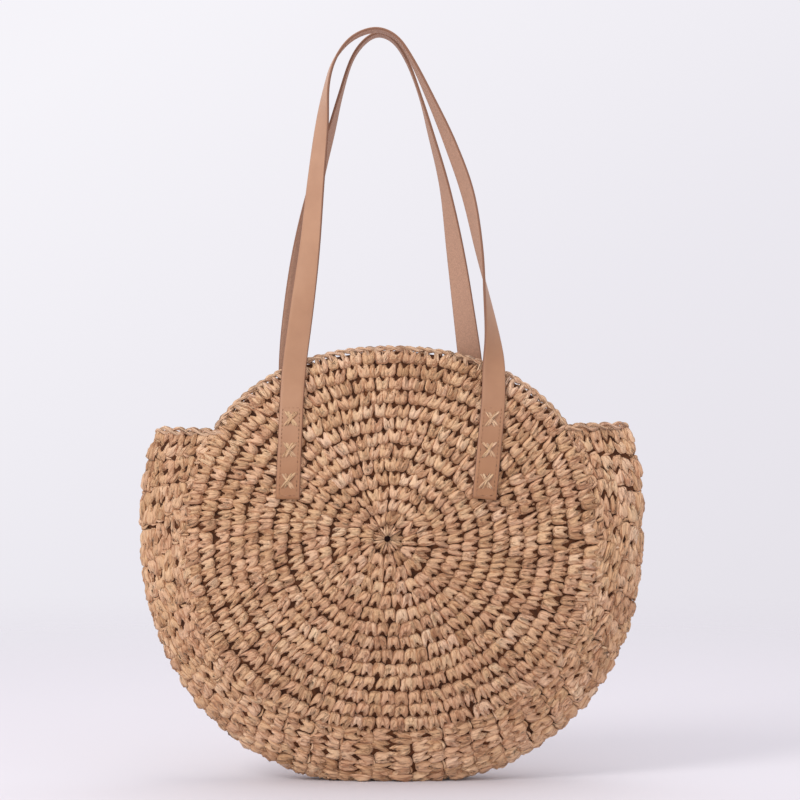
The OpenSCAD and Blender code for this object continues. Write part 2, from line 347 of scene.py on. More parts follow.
def make_mesh(name, points, loops, starts, material, attributes=None, uv=None):
    """Object with the faces whose corners are loops, each starting at one of starts."""
    mesh = bpy.data.meshes.new(name)
    mesh.vertices.add(len(points))
    mesh.vertices.foreach_set("co", points.astype(np.float32).ravel())
    mesh.loops.add(len(loops))
    mesh.loops.foreach_set("vertex_index", loops.astype(np.int32))
    mesh.polygons.add(len(starts))
    mesh.polygons.foreach_set("loop_start", starts.astype(np.int32))
    mesh.update(calc_edges=True)
    mesh.shade_smooth()
    for key, values in (attributes or {}).items():
        kind, field = ("FLOAT_VECTOR", "vector") if values.ndim == 2 else ("FLOAT", "value")
        layer = mesh.attributes.new(key, kind, "POINT")
        layer.data.foreach_set(field, values.astype(np.float32).ravel())
    if uv is not None:
        layer = mesh.uv_layers.new(name="OFBake")
        layer.data.foreach_set("uv", uv.astype(np.float32).ravel())
    mesh.materials.append(material)
    return new_object(name, mesh)


def new_object(name, data):
    obj = bpy.data.objects.new(name, data)
    bpy.context.scene.collection.objects.link(obj)
    return obj


def grid_mesh(name, grid, material, closed=False, thickness=0.0):
    """A sheet over a grid of points (rows, columns, 3), with an even thickness if one is given."""
    rows, columns, _ = grid.shape
    index = np.arange(rows * columns).reshape(rows, columns)
    right = np.roll(index, -1, axis=1) if closed else index[:, 1:]
    here = index if closed else index[:, :-1]
    quads = np.stack([here[:-1], right[:-1], right[1:], here[1:]], -1).reshape(-1, 4)
    obj = make_mesh(name, grid.reshape(-1, 3), quads.ravel(), 4 * np.arange(len(quads)), material)
    if thickness:
        solid = obj.modifiers.new("thickness", "SOLIDIFY")
        solid.thickness = thickness
        solid.offset = 0
    return obj


# ------------ materials

class Graph:
    """A node tree, with a short call for each kind of node that the materials use."""

    def __init__(self, owner):
        owner.use_nodes = True
        self.owner, self.nodes, self.link = owner, owner.node_tree.nodes, owner.node_tree.links.new

    def feed(self, node, inputs):
        """Sets inputs of a node, each to a number, a colour or another node's output."""
        for key, value in dict(inputs).items():
            if isinstance(value, bpy.types.NodeSocket):
                self.link(value, node.inputs[key])
            else:
                node.inputs[key].default_value = (*value, 1) if isinstance(value, tuple) else value

    def add(self, kind, inputs=(), **settings):
        node = self.nodes.new("ShaderNode" + kind)
        for key, value in settings.items():
            setattr(node, key, value)
        self.feed(node, inputs)
        return node

    def dressed(self, inputs):
        """The material, with these inputs on its shader."""
        self.feed(self.nodes["Principled BSDF"], inputs)
        return self.owner

    def coordinate(self, output="Object"):
        return self.add("TexCoord").outputs[output]

    def attribute(self, name, output="Fac"):
        return self.add("Attribute", attribute_name=name).outputs[output]

    def ramp(self, source, stops):
        node = self.add("ValToRGB", {0: source})
        elements = node.color_ramp.elements
        elements.remove(elements[1])
        for i, (place, colour) in enumerate(stops):
            element = elements.new(place) if i else elements[0]
            element.position = place
            element.color = (*colour, 1)
        return node.outputs["Color"]

    def noise(self, vector, scale, detail=3.0, roughness=0.5):
        inputs = {"Vector": vector, "Scale": scale, "Detail": detail, "Roughness": roughness}
        return self.add("TexNoise", inputs).outputs["Fac"]

    def cells(self, vector, scale):
        return self.add("TexVoronoi", {"Vector": vector, "Scale": scale}).outputs["Distance"]

    def maths(self, operation, *values):
        return self.add("Math", enumerate(values), operation=operation).outputs[0]

    def scale_add(self, value, scale, offset):
        return self.maths("MULTIPLY_ADD", value, scale, offset)

    def blend(self, factor, a, b, blend_type="MIX"):
        inputs = {"Factor": factor, "A": a, "B": b}
        return self.add("Mix", inputs, data_type="RGBA", blend_type=blend_type).outputs["Result"]

    def bump(self, height, strength, distance, below=None):
        inputs = {"Height": height, "Strength": strength, "Distance": distance}
        if below is not None:
            inputs["Normal"] = below
        return self.add("Bump", inputs).outputs["Normal"]


def new_graph(name):
    return Graph(bpy.data.materials.new(name))


def straw_material(name, dark, middle, light, contrast=1.0):
    """Folded paper straw: crisp lengthwise creases darkened with painted shade, crumpled facets, and tone
    and hue that change from strand to strand."""
    graph = new_graph(name)
    grain = graph.attribute("grain", "Vector")
    folds = graph.noise(grain, 0.5, 1, 0.4)
    fibres = graph.noise(grain, 3.0, 3, 0.6)
    blotches = graph.noise(graph.coordinate(), 22, 2)
    level = graph.scale_add(graph.attribute("tone"), 0.09 * contrast, graph.scale_add(fibres, 0.4, 0.30))
    level = graph.scale_add(blotches, 0.3, level)
    colour = graph.ramp(level, [(0.35, dark), (0.66, middle), (0.98, light)])
    hue = graph.noise(grain, 0.17, 1)
    warmth = graph.ramp(hue, [(0.38, (1.0, 0.97, 0.995)), (0.62, (0.995, 1.0, 0.945))])
    colour = graph.blend(1.0, colour, warmth, "MULTIPLY")
    ridge = graph.maths("ABSOLUTE", graph.scale_add(folds, 2.0, -1.0))
    # Painted shade: the base colour is darkened along the crease lines
    painted_crease_shade = graph.ramp(ridge, [(0.0, (0.34, 0.18, 0.11)), (0.03, (0.66, 0.50, 0.41)), (0.09, (1, 1, 1))])
    coarse = graph.bump(graph.maths("MINIMUM", ridge, 0.14), 1.0, 2.2 * MM)
    facets = graph.bump(graph.cells(grain, 1.6), 1.0, 1.6 * MM, coarse)
    return graph.dressed({
        "Base Color": graph.blend(0.65, colour, painted_crease_shade, "MULTIPLY"),
        "Roughness": 0.66,
        "Specular IOR Level": 0.34,
        "Sheen Weight": 0.08,
        "Sheen Roughness": 0.45,
        "Normal": graph.bump(fibres, 0.2, 0.3 * MM, facets),
    })


def shadow_straw_material():
    """The straw behind the stitches, seen only down the gaps between them, coloured near-black with
    painted shade.
    """
    graph = new_graph("straw_behind_painted_shade")
    lumps = graph.noise(graph.coordinate(), 160, 3)
    return graph.dressed({
        # Painted shade: near-black browns that stand for the shade down the gaps between stitches
        "Base Color": graph.ramp(lumps, [(0.35, (0.045, 0.015, 0.006)), (0.7, (0.13, 0.046, 0.017))]),
        "Roughness": 0.8,
        "Specular IOR Level": 0.2,
        "Normal": graph.bump(lumps, 0.9, 2 * MM),
    })


def leather_material(top, deep, edge, flesh):
    """Tan leather: fine pebble grain, slow mottling, painted edges and a suede inner side. It is darker
    and more golden towards the tabs, and paler towards the top of the loops as painted light."""
    graph = new_graph("tan_leather")
    coordinate = graph.coordinate()
    slow = graph.noise(coordinate, 26, 3, 0.6)
    fine = graph.noise(coordinate, 900, 2)
    face = graph.ramp(slow, [(0.3, deep), (0.62, top)])
    # Painted light: paler towards the top of the loops, where the light falls; darker and more golden
    # towards the tabs
    tab_tint_and_painted_top_light = graph.ramp(graph.attribute("rise"), [
        (0.0, (0.70, 0.56, 0.36)), (0.2, (0.86, 0.80, 0.69)), (0.45, (0.89, 0.84, 0.76)), (0.7, (1, 1, 1)),
    ])
    face = graph.blend(1.0, face, tab_tint_and_painted_top_light, "MULTIPLY")
    flesh_share = graph.attribute("flesh")
    suede = graph.ramp(fine, [(0.3, tuple(0.75 * c for c in flesh)), (0.7, flesh)])
    sides = graph.blend(flesh_share, face, suede)
    coarse = graph.bump(graph.cells(coordinate, 1100), 0.16, 0.25 * MM)
    return graph.dressed({
        "Base Color": graph.blend(graph.attribute("edge"), sides, edge),
        "Roughness": graph.scale_add(flesh_share, 0.3, graph.scale_add(slow, 0.18, 0.36)),
        "Specular IOR Level": 0.6,
        "Normal": graph.bump(slow, 0.25, 1.2 * MM, coarse),
    })


def cloth_material():
    """Dark plain-woven cotton."""
    graph = new_graph("lining_cloth")
    coordinate = graph.coordinate()
    waves = {"Vector": coordinate, "Scale": 420, "Distortion": 0.6}
    weave = graph.maths("MAXIMUM", *(
        graph.add("TexWave", waves, bands_direction=direction).outputs["Fac"] for direction in ("X", "Z")
    ))
    slow = graph.noise(coordinate, 30, 3)
    level = graph.scale_add(weave, 0.4, slow)
    creases = graph.bump(slow, 0.7, 5 * MM)
    return graph.dressed({
        "Base Color": graph.ramp(level, [(0.4, (0.030, 0.012, 0.012)), (0.95, (0.085, 0.036, 0.032))]),
        "Roughness": 0.9,
        "Specular IOR Level": 0.15,
        "Sheen Weight": 0.2,
        "Normal": graph.bump(weave, 0.5, 0.3 * MM, creases),
    })


def metal_material():
    """Nickel plate, brushed to satin."""
    graph = new_graph("snap_nickel")
    scratches = graph.noise(graph.coordinate(), 700, 4, 0.7)
    return graph.dressed({
        "Base Color": graph.ramp(scratches, [(0.3, (0.50, 0.48, 0.45)), (0.7, (0.68, 0.66, 0.62))]),
        "Metallic": 1.0,
        "Roughness": graph.scale_add(scratches, 0.2, 0.22),
        "Normal": graph.bump(scratches, 0.1, 0.1 * MM),
    })


# ------------ crochet

# Sections of a stitch from its crown to the tips of its two legs: place along it as a share of the
# row's pitch, half width as a share of its own pitch, height of the top in mm, and the share of the
# width that the notch between the legs takes
STITCH_SECTIONS = np.array([
    (-0.52, 0.18, -3.6, 0.0), (-0.49, 0.34, -1.6, 0.0), (-0.41, 0.46, 0.3, 0.0), (-0.28, 0.53, 1.3, 0.0),
    (-0.10, 0.55, 1.4, 0.0), (0.08, 0.55, 1.1, 0.0), (0.22, 0.55, 0.7, 0.16), (0.36, 0.53, 0.1, 0.40),
    (0.49, 0.48, -1.0, 0.64), (0.61, 0.42, -3.2, 0.86),
])
STITCH_DEPTH = -GROUND_DEPTH
# Places across a stitch as shares of its half width, from one edge over its middle to the other
HALF_ACROSS = np.array([1.0, 0.95, 0.84, 0.70, 0.54, 0.38, 0.23, 0.10, 0.0])
ACROSS = np.concatenate([HALF_ACROSS, -HALF_ACROSS[-2::-1]])
# Spreads of the random differences from stitch to stitch, and in a star
SHIFT, STAR_SHIFT = 0.055, 0.01
SLANT, STAR_SLANT = 0.15, 0.02
LUMPS, STAR_LUMPS = 1, 0.3
# Folds pressed into a stitch, and the width of each as a share of the stitch's half width
FOLDS = 2
FOLD_WIDTH = 0.10


def lay(origin, axes, along, across, lift):
    """Places (n, k) offsets in each stitch's own directions: results (n, k, 3)."""
    e_along, e_across, normal = axes
    return (origin[:, None] + along[..., None] * e_along[:, None]
            + across[..., None] * e_across[:, None] + lift[..., None] * normal[:, None])


def add_stitches(yarn, origin, axes, long, wide, tilt=0.0, pressed=0.0, radius=math.inf, star=False):
    """V stitches: each a solid crumpled crown that splits into two pointed legs. long and wide are the
    pitches of the rows and of the stitches in a row, and radius is that of the row. The crowns of a
    star lie close together round its hole."""
    rng, n = yarn.rng, len(origin)
    shift, lean, lumpy = (STAR_SHIFT, STAR_SLANT, STAR_LUMPS) if star else (SHIFT, SLANT, LUMPS)
    place, half, top, notch = STITCH_SECTIONS.T[..., None]
    if star:
        place = mix(place, 0.66, 0.2)
        half, top = np.maximum(half, 0.53), np.where(place < 0.2, 0.2, top)
    k, q = len(place), ACROSS

    def either(low, high):
        """A value for each leg, blended across the stitch."""
        ends = rng.uniform(low, high, (2, n, 1, 1))
        return mix(ends[0], ends[1], (q + 1) / 2)

    stretch = np.where(place > 0, either(0.82, 1.18), 1)
    along = (place * stretch + rng.normal(0, shift, (n, 1, 1))) * long[:, None, None]
    width = half * rng.normal(1, 0.04, (n, 1, 1)) * (1 + rng.normal(0, 0.04, (n, k, 1)))
    splay = either(-0.14, 0.14) * np.maximum(place, 0)
    sway = rng.normal(0, 0.04, (n, 1, 1))
    fan = (1 + along / radius) * wide[:, None, None]
    across = (q * width + splay + sway + rng.normal(0, 0.012, (n, k, len(q)))) * fan
    slant = (tilt + rng.normal(0, lean, n))[:, None, None]

    round_off = np.sqrt(1 - q**4)
    if star:
        round_off = mix(round_off, 1.0, 0.72 * (place < 0.2))
    cut = np.where(notch > 0, smooth((np.abs(q) - 0.5 * notch) / (0.5 * notch + 0.14)), 1)
    crown = (top + rng.normal(0, 0.25, (n, k, 1)) + either(-0.5, 0.5)) * MM - STITCH_DEPTH
    height = crown * round_off * cut
    for _ in range(0 if star else FOLDS):
        line = rng.uniform(-0.8, 0.8, (n, 1, 1)) + rng.uniform(-0.8, 0.8, (n, 1, 1)) * place
        depth = rng.uniform(0.1, 0.9, (n, 1, 1)) * MM
        height = height - depth * np.exp(-(((q - line) / FOLD_WIDTH) ** 2)) * round_off
    lumps = rng.normal(0, 0.6, (n, k, 1)) * rng.normal(0, 1, (n, 1, len(q)))
    lumps = lumps + rng.normal(0, 0.15, (n, k, len(q)))
    height = height + np.clip(lumps, -1, 0.7) * MM * round_off * lumpy
    raised = (rng.normal(0, 0.45, n) * MM - pressed)[:, None, None]
    lift = STITCH_DEPTH + np.maximum(height, 0) + raised

    e_along, e_across, normal = (axis[:, None, None] for axis in axes)
    side = np.cross(normal, e_along)
    ring = (origin[:, None, None] + along[..., None] * e_along + (slant * along)[..., None] * e_across
            + across[..., None] * side + lift[..., None] * normal)
    grain = np.broadcast_arrays(1.3 * q, lift / (3 * MM), along * GRAIN_ALONG)
    yarn.add_rings(ring, np.stack(grain, -1))


def add_crescents(yarn, origin, axes, long, wide):
    """Short curved strands between the crowns of two rows that were worked in opposite directions."""
    rng, n = yarn.rng, len(origin)
    bar = np.linspace(-1, 1, 7)
    sag = rng.uniform(0.06, 0.20, (n, 1))
    along = (-0.50 - sag * (1 - bar**2) + 0.5 * sag + rng.normal(0, 0.03, (n, 1))) * long[:, None]
    across = (0.46 * bar + rng.normal(0.0, 0.12, (n, 1))) * wide[:, None]
    rise = (-0.6 - 2.6 * np.abs(bar) ** 2.5) * MM + rng.normal(-0.2, 0.4, (n, 1)) * MM - GUSSET_SINK
    widths = np.array([0.8, 1.7, 2.3, 2.6, 2.3, 1.7, 0.8]) * MM * rng.uniform(0.8, 1.2, (n, 1))
    yarn.add(lay(origin, axes, along, across, rise), widths, 0.85, axes[2])


def under_tab(points, side):
    """How far the crochet is pressed in at these points by the tabs sewn onto this side."""
    press = np.zeros(len(points))
    for tab_side, top_x, foot_x in TABS.values():
        if tab_side != side:
            continue
        k = np.clip((points[:, 2] - TAB_FOOT) / (FOLD_Z - TAB_FOOT), 0, 1)
        near_x = np.abs(points[:, 0] - mix(foot_x, top_x, k)) - STRAP_W / 2
        near_z = np.maximum(TAB_FOOT - points[:, 2], points[:, 2] - PRESS_TOP)
        beyond = np.maximum(near_x, near_z) - 1 * MM
        press = np.maximum(press, 1 - smooth(beyond / PRESS_FADE))
    return PRESS_DEPTH * press


def disc_crochet(name, side, rounds, seed, material):
    """Rounds of a disc, from the star outwards; the last round stops short of the mouth edging."""
    yarn = Yarn(seed)
    for k in rounds:
        share = (k + 0.5) / ROUNDS
        radius = share * (PANEL_RX + PANEL_RZ) / 2
        count = STAR_STITCHES if k == 0 else round(TURN * radius / STITCH)
        angle = (np.arange(count) + yarn.rng.uniform(0, 1)) * TURN / count
        angle = angle + yarn.rng.normal(0, 0.05, count) * TURN / count
        wobble = sum(yarn.rng.normal(0, 0.03) * np.sin(f * angle + yarn.rng.uniform(0, 6))
                     for f in (1, 2, 3, 5))
        shares = share + (wobble if k else 0) / ROUNDS * min(1, k / 3)
        free_edge = (np.sin(angle) > math.sin(SEAM_EAR)) & (k == ROUNDS - 1)
        shares = np.where(free_edge, shares - 0.06 / ROUNDS, shares)
        origin = disc_point(shares, angle, side)
        *axes, long, wide = disc_frame(shares, angle, side)
        long = long / ROUNDS * np.where(free_edge, 0.86, 1.0)
        wide = wide * TURN / count
        tilt = 0.0 if k == 0 else 0.05 + 0.16 * np.cos(2 * angle)
        add_stitches(yarn, origin, axes, long, wide, tilt, under_tab(origin, side), radius, star=k == 0)
    return yarn.build(name, material)


def even_across(t, side, shares):
    """Values of v at shares of the way round the gusset from the fold to the seam, at place t."""
    v = np.linspace(0, 1, 80)
    length = distances(gusset_point(t, v))
    return side * np.interp(np.asarray(shares) * length[-1], length, v), length[-1]


def gusset_crochet(name, side, seed, material):
    """Half of the gusset, fold to seam: rows across it, each worked the other way from the last."""
    yarn = Yarn(seed)
    half = GUSSET_STITCHES // 2
    for row in range(GUSSET_ROWS):
        flip = -1 if row % 2 else 1
        t = mix(0.002, 0.998, (row + 0.5 + 0.06 * flip) / GUSSET_ROWS)
        places = (np.arange(half) + 0.375 + 0.25 * (row % 2) + yarn.rng.uniform(-0.1, 0.1)) / half
        v, width = even_across(t, side, np.clip(places + yarn.rng.normal(0, 0.010, half), 0.02, 0.97))
        margin = 0.3 / GUSSET_ROWS
        ts = np.clip(t + yarn.rng.normal(0, 0.06, half) / GUSSET_ROWS, margin, 1 - margin)
        origin = gusset_point(ts, v)
        along, across, normal, long, _ = gusset_frame(ts, v)
        long, wide = 1.10 * long / GUSSET_ROWS, np.full(half, width / half)
        axes = (flip * along, across, normal)
        add_stitches(yarn, origin, axes, long, wide, pressed=GUSSET_SINK)
        if row % 2 == 0:
            shown = yarn.rng.uniform(0, 1, half) < 0.85
            add_crescents(yarn, origin[shown], [axis[shown] for axis in axes], long[shown], wide[shown])
    return yarn.build(name, material)


def disc_ground(name, side, material):
    """The sheet of crochet behind a disc's stitches."""
    points = disc_point(*round_rows(0.014, 0.984, 30, 120), side, -GROUND_DEPTH)
    return grid_mesh(name, points, material, closed=True, thickness=GROUND_T)


def gusset_ground(name, side, material):
    """The sheet of crochet behind the stitches of half of the gusset."""
    t = np.linspace(0.002, 0.998, 120)[:, None]
    v = side * np.sin(np.linspace(0, 0.47 * math.pi, 24))[None]
    points = gusset_point(t, v, GUSSET_GROUND_DEPTH)
    return grid_mesh(name, points, material, thickness=GROUND_T)


def edging(yarn, path, outward, wave, pitch, size=2.6 * MM):
    """A chain edging: two plies that cross each other along a path, and lie still at its ends."""
    length = distances(path)
    count = max(12, int(length[-1] / (1.1 * MM)))
    even = np.linspace(0, length[-1], count)
    line, off = (np.stack([np.interp(even, length, values[:, i]) for i in range(3)], -1)
                 for values in (path, outward))
    off = unit(off)
    across = unit(np.cross(unit(np.gradient(line, axis=0)), off))
    to_end = np.minimum(even, length[-1] - even)
    for ply in (0, 1):
        phase = TURN * (even / pitch + ply / 2) + 0.5 * np.sin(even * 37 + ply)
        swing = wave * np.cos(phase)[:, None] * off + 0.55 * wave * np.sin(phase)[:, None] * across
        swing = swing * smooth(to_end / (9 * MM))[:, None]
        fat = size * (1 + 0.16 * np.sin(phase * 2 + 1) + yarn.rng.normal(0, 0.05, count))
        fat = fat * np.minimum(1, to_end / (2 * MM) + 0.5)
        yarn.add((line + swing)[None], fat[None], 0.78, across[None])


def posts(yarn, foot, head, up, size):
    """Short strands that tie an edging to the row below it."""
    n = len(foot)
    k = np.linspace(0, 1, 5)[None, :, None]
    bend = np.sin(np.linspace(0, math.pi, 5))[None, :, None] * up[:, None]
    bow = bend * yarn.rng.uniform(0.2, 1.4, (n, 1, 1)) * MM
    paths = mix(foot[:, None], head[:, None], k) + bow
    widths = size * np.array([0.9, 1.1, 1.0, 1.0, 0.8])[None] * yarn.rng.uniform(0.8, 1.2, (n, 1))
    yarn.add(paths, widths, 0.8, up)


def disc_edging(name, side, seed, material):
    """Chain edging over the top of a disc, tied down by a post between stitches; gaps stay open."""
    yarn = Yarn(seed)
    angle = np.linspace(SEAM_EAR - 0.02, math.pi - SEAM_EAR + 0.02, 260)
    path = disc_point(1.006, angle, side, -WALL / 2)
    out = disc_frame(1.0, angle, side)[0]
    edging(yarn, path, out, 0.95 * MM, 17 * MM)
    count = round(distances(path)[-1] / STITCH)
    places = np.linspace(SEAM_EAR, math.pi - SEAM_EAR, count) + yarn.rng.normal(0, 0.008, count)
    lean = yarn.rng.normal(0, 0.012, count) + 0.012
    up = np.tile([0.0, side, 0.0], (count, 1))
    for offset in (-0.007, 0.007):
        foot = disc_point(0.945, places + offset, side, -2.4 * MM)
        head = disc_point(1.003, places + offset * 0.3 + lean, side, -2.4 * MM)
        posts(yarn, foot, head, up, 2.6 * MM)
    return yarn.build(name, material)


def ear_edging(name, t, side, seed, material):
    """Chain edging along half of one end of the gusset."""
    yarn = Yarn(seed)
    v = side * np.linspace(-0.02, 1.0, 60)
    lift = np.array([(1 - 2 * t) * 1.4, 0, -1.4]) * MM
    path = gusset_point(t, v, 0.2 * MM) + lift
    dip = 1 - smooth(np.abs(v) / 0.25)
    path = path - dip[:, None] * np.array([(1 - 2 * t) * 2.0, 0, 1.5]) * MM
    outward = np.tile([0.0, 0.0, 1.0], (len(path), 1))
    edging(yarn, path, outward, 2.1 * MM, 23 * MM, size=2.5 * MM)
    places, _ = even_across(t, side, (np.arange(6) + 0.5) / 6)
    foot = gusset_point(t, places, WALL / 2) - [0, 0, 3 * MM]
    head = gusset_point(t, places + yarn.rng.normal(0.02, 0.02, 6), WALL / 2) + lift
    up = unit(np.stack([foot[:, 0], 0.6 * foot[:, 1], 0 * foot[:, 0]], -1))
    posts(yarn, foot, head, up, 2.8 * MM)
    return yarn.build(name, material)


def seam_yarn(name, side, seed, material):
    """Whip stitches that join a disc to the gusset."""
    yarn = Yarn(seed)
    count = 74
    angle = np.linspace(SEAM_EAR - 0.05, -math.pi - SEAM_EAR + 0.05, count)
    angle = angle + yarn.rng.normal(0, 0.006, count)
    origin = disc_point(1.004, angle, side, -4.4 * MM)
    *axes, _, _ = disc_frame(1.0, angle, side)
    steps = np.linspace(-1, 1, 5)
    along = steps[None] * 4.0 * MM + yarn.rng.normal(0, 0.5, (count, 1)) * MM
    across = steps[None] * yarn.rng.uniform(1.6, 3.4, (count, 1)) * MM
    rise = (1 - 1.6 * steps**2)[None] * 1.5 * MM + np.zeros((count, 1))
    widths = np.array([1.4, 2.6, 3.2, 2.8, 1.4])[None] * MM * yarn.rng.uniform(0.7, 1.2, (count, 1))
    yarn.add(lay(origin, axes, along, across, rise), widths, 0.75, axes[2])
    return yarn.build(name, material)


# ------------ leather

def catmull(stations, steps):
    """Smooth curve through stations, with steps points between each two."""
    s = np.array(stations, float)
    padded = np.concatenate([s[:1], s, s[-1:]])
    places = np.linspace(0, len(s) - 1, (len(s) - 1) * steps + 1)
    i = np.minimum(places.astype(int), len(s) - 2)
    k = (places - i)[:, None]
    a, b, c, d = (padded[i + j] for j in range(4))
    square, cube = (2 * a - 5 * b + 4 * c - d) * k**2, (3 * b - a - 3 * c + d) * k**3
    return 0.5 * (2 * b + (c - a) * k + square + cube)


def leather_section(width, thickness):
    """Ring of a strap's section with rounded, painted edges: offsets, edge share and inner-side share."""
    corner = 0.42 * thickness
    face = np.linspace(-width / 2 + corner, width / 2 - corner, 9)
    crown = 0.10 * MM * (1 - (2 * face / width) ** 4)
    arc = np.linspace(-math.pi / 2, math.pi / 2, 5)[1:-1]
    outer = np.stack([face, thickness / 2 + crown], -1)
    right = np.stack([width / 2 - corner + corner * np.cos(arc), -thickness / 2 * np.sin(arc)], -1)
    inner = np.stack([face[::-1], -thickness / 2 + 0 * face], -1)
    left = np.stack([-right[:, 0], -right[:, 1]], -1)
    edge = np.concatenate([np.zeros(9), np.ones(3), np.zeros(9), np.ones(3)])
    flesh = np.concatenate([np.zeros(9), np.full(3, 0.5), np.ones(9), np.full(3, 0.5)])
    return np.concatenate([outer, right, inner, left]), edge, flesh


def tab_section(top_x, foot_x, z):
    """Where a tab lies at height z: x of its middle, and the crochet's depth and slope along x there."""
    x = mix(foot_x, top_x, np.clip((z - TAB_FOOT) / (FOLD_Z - TAB_FOOT), 0, 1))
    left, right = face_depth(x - STRAP_W / 2, z), face_depth(x + STRAP_W / 2, z)
    return x, (left + right) / 2, (right - left) / STRAP_W


def tab_path(side, top_x, foot_x):
    """Middle line of a tab from foot to fold line, and how far its width is turned by the slope."""
    z = np.linspace(TAB_FOOT, FOLD_Z - 2 * MM, 26)
    x, depth, slope = tab_section(top_x, foot_x, z)
    return np.stack([x, side * (depth + TAB_GAP + STRAP_T / 2), z], -1), -np.degrees(np.arctan(slope))


def fold_station(top_x, turn):
    """Station where a strap leaves its tab."""
    z = np.array(FOLD_Z)
    _, depth, slope = tab_section(top_x, top_x, z)
    lifted = depth + TAB_GAP + FOLD_LIFT + STRAP_T / 2
    return top_x / MM, lifted / MM, (FOLD_Z + FOLD_GAP) / MM, turn - math.degrees(math.atan(slope))


def strap_strip(name, side, left, right, route, material):
    """One strip of leather: left tab, loop and right tab. Its outer side starts and ends facing away."""
    left_tab, left_turn = tab_path(side, *left)
    right_tab, right_turn = tab_path(side, *right)
    loop = catmull([fold_station(left[0], 0), *route, fold_station(right[0], -180)], 10)
    middle = np.stack([loop[:, 0], side * loop[:, 1], loop[:, 2]], -1) * MM
    path = np.concatenate([left_tab, middle, right_tab[::-1]])
    turn = np.radians(np.concatenate([left_turn, loop[:, 3], right_turn[::-1] - 180]))
    for _ in range(4):
        path[1:-1] = 0.5 * path[1:-1] + 0.25 * (path[:-2] + path[2:])
    tangent = unit(np.gradient(path, axis=0))
    wanted = np.stack([np.cos(turn), -side * np.sin(turn), 0 * turn], -1)
    across = unit(wanted - np.sum(wanted * tangent, -1, keepdims=True) * tangent)
    up = np.cross(across, tangent) * -side
    section, edge, flesh = leather_section(STRAP_W, STRAP_T)
    grid = path[:, None] + section[None, :, :1] * across[:, None] + section[None, :, 1:] * up[:, None]
    rows, ring = len(path), len(section)
    # Height share along the strap, which sets the leather's painted light at the top and its tint at the
    # tabs
    rise = np.repeat((path[:, 2] - TAB_FOOT) / (path[:, 2].max() - TAB_FOOT), ring)
    attributes = {"edge": np.tile(edge, rows), "flesh": np.tile(flesh, rows), "rise": rise}
    index = np.arange(rows * ring).reshape(rows, ring)
    after = np.roll(index, -1, axis=1)
    quads = np.stack([index[:-1], index[1:], after[1:], after[:-1]], -1).reshape(-1)
    loops = np.concatenate([quads, index[0], index[-1][::-1]])
    starts = np.concatenate([4 * np.arange(len(quads) // 4), len(quads) + ring * np.arange(2)])
    return make_mesh(name, grid.reshape(-1, 3), loops, starts, material, attributes)


def tab_frame(side, top_x, foot_x, z, offset):
    """Points on a tab's outer face at heights z and offsets from its middle line, with their normals."""
    x, depth, slope = tab_section(top_x, foot_x, z)
    step = 1 * MM
    above, below = (tab_section(top_x, foot_x, z + lift)[1] for lift in (step, -step))
    rise = (above - below) / (2 * step)
    normal = unit(np.stack([-slope, side * np.ones_like(x), -rise], -1))
    surface = depth + slope * offset + TAB_GAP + STRAP_T + 0.1 * MM
    return np.stack([x + offset, side * surface, z], -1), normal


def stitch_row(low, high, pitch):
    """Middles of even stitches of about a pitch from low to high, and the length of one."""
    count = round((high - low) / pitch)
    return low + (np.arange(count) + 0.5) * (high - low) / count, (high - low) / count


def machine_stitching(name, side, top_x, foot_x, seed, material):
    """A rectangle of machine stitches, inset from the tab's edges."""
    yarn = Yarn(seed)
    inset, pitch, thread = 3 * MM, 3.3 * MM, 0.75 * MM
    half = STRAP_W / 2 - inset
    low, high = TAB_FOOT + inset, FOLD_Z - 3.5 * MM
    up, step_up = stitch_row(low, high, pitch)
    over, step_over = stitch_row(-half, half, pitch)
    runs = [(x, up, 0, step_up) for x in (-half, half)] + [(over, z, 1, step_over) for z in (low, high)]
    shape = np.array([-0.5, -0.3, 0, 0.3, 0.5])
    for x, z, sideways, step in runs:
        x, z = np.broadcast_arrays(x, z)
        along = shape[None] * step * 0.80
        offset = x[:, None] + along * sideways
        height = z[:, None] + along * (1 - sideways)
        points, normal = tab_frame(side, top_x, foot_x, height, offset)
        dip = np.array([-0.45, 0.02, 0.08, 0.02, -0.45]) * MM
        points = points + dip[None, :, None] * normal
        size = np.full(height.shape, thread) * np.array([0.7, 1, 1, 1, 0.7])
        yarn.add(points, size, 0.6, normal, sides=6, lobes=2)
    return yarn.build(name, material)


def cross_stitches(name, side, top_x, foot_x, seed, material):
    """Three crosses of doubled straw yarn through a tab."""
    yarn = Yarn(seed)
    pitch, height, width = 25.4 * MM, 12.5 * MM, 8.5 * MM
    sizes = np.array([1.2, 2.0, 2.2, 2.1, 2.0, 2.1, 2.2, 2.0, 1.2]) * MM
    shape = np.linspace(-0.5, 0.5, 9)
    for row in (-1, 0, 1):
        middle = (FOLD_Z + TAB_FOOT - FOLD_GAP) / 2 + 2 * MM + row * pitch
        for layer, lean in enumerate((-1, 1)):
            for strand in (-1, 1):
                jitter = yarn.rng.normal(0, 0.35 * MM, 4)
                gap = strand * (0.5 + 1.9 * np.abs(shape)) * MM + jitter[0] * 0.3
                z = middle + shape * (height + jitter[1]) + jitter[2] * 0.5
                x = lean * shape * (width + jitter[3]) + gap
                points, normal = tab_frame(side, top_x, foot_x, z, x)
                bow = (1 - (2 * np.abs(shape)) ** 3) * (0.6 + 0.9 * layer) * MM - 0.5 * MM
                bow = bow + yarn.rng.normal(0, 0.1 * MM, 9)
                points = points + bow[:, None] * normal
                size = sizes * yarn.rng.uniform(0.9, 1.15)
                yarn.add(points[None], size[None], 0.62, normal[None], lobes=3)
    return yarn.build(name, material)


# ------------ lining

